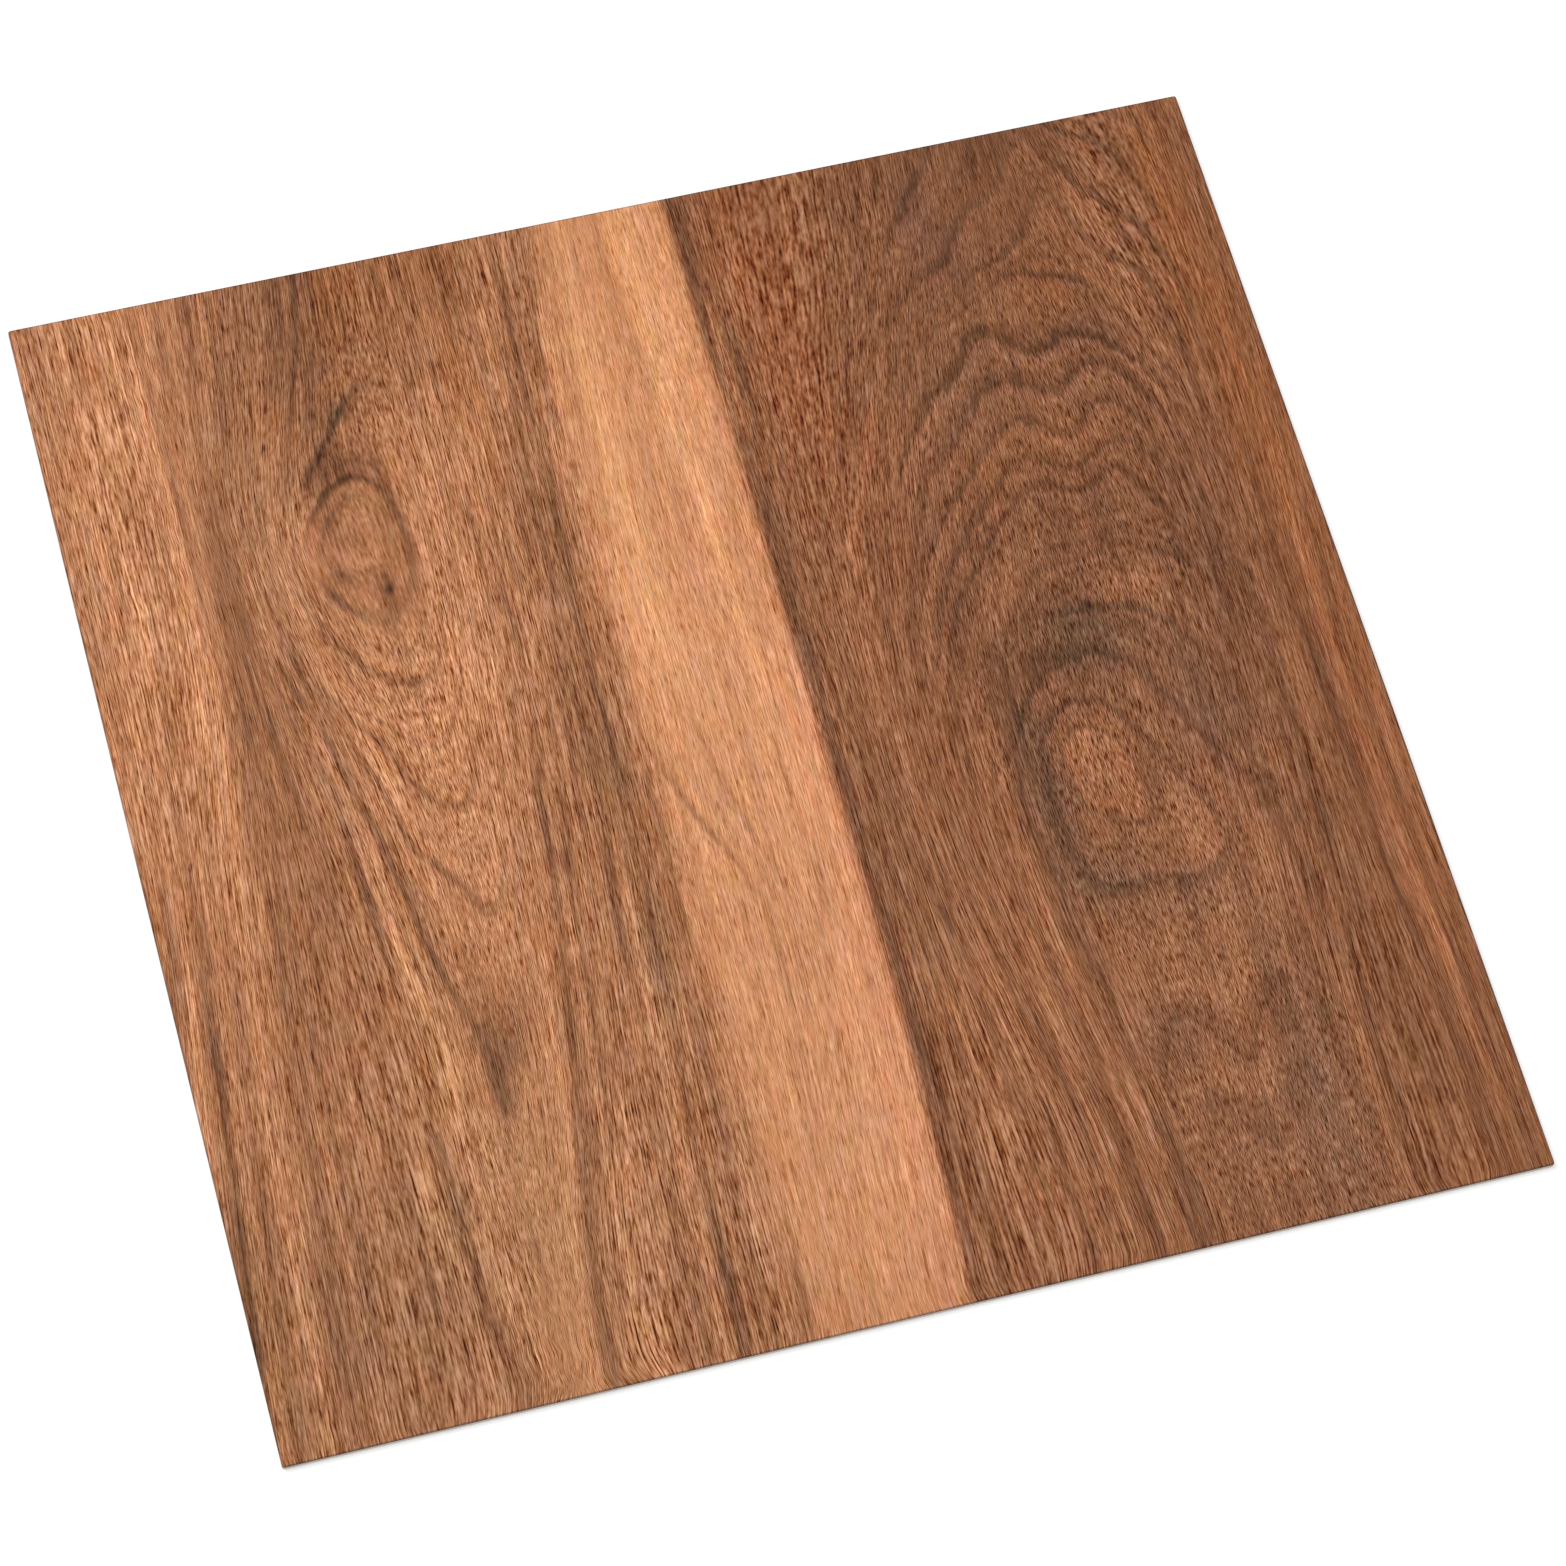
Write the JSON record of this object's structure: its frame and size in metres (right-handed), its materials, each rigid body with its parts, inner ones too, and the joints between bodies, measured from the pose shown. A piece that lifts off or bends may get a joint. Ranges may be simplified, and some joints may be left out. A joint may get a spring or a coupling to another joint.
{
  "type": "vinyl floor tile",
  "caption": "Thin square vinyl floor tile with a satin wood-grain face and square-cut edges, to be stuck down edge to edge on a flat floor.",
  "frame": {"origin": "middle of the tile's back face, the face that is stuck down", "axes": "+Z out of the wear face, +Y along the printed grain, +X across it"},
  "size_m": [0.305, 0.305, 0.0015],
  "materials": {
    "printed_vinyl": "satin wear layer over a reddish-brown wood print, with a plain pale grey-beige cut edge and back"
  },
  "bodies": {
    "root": {"vinyl_tile": "printed_vinyl"}
  },
  "joints": []
}
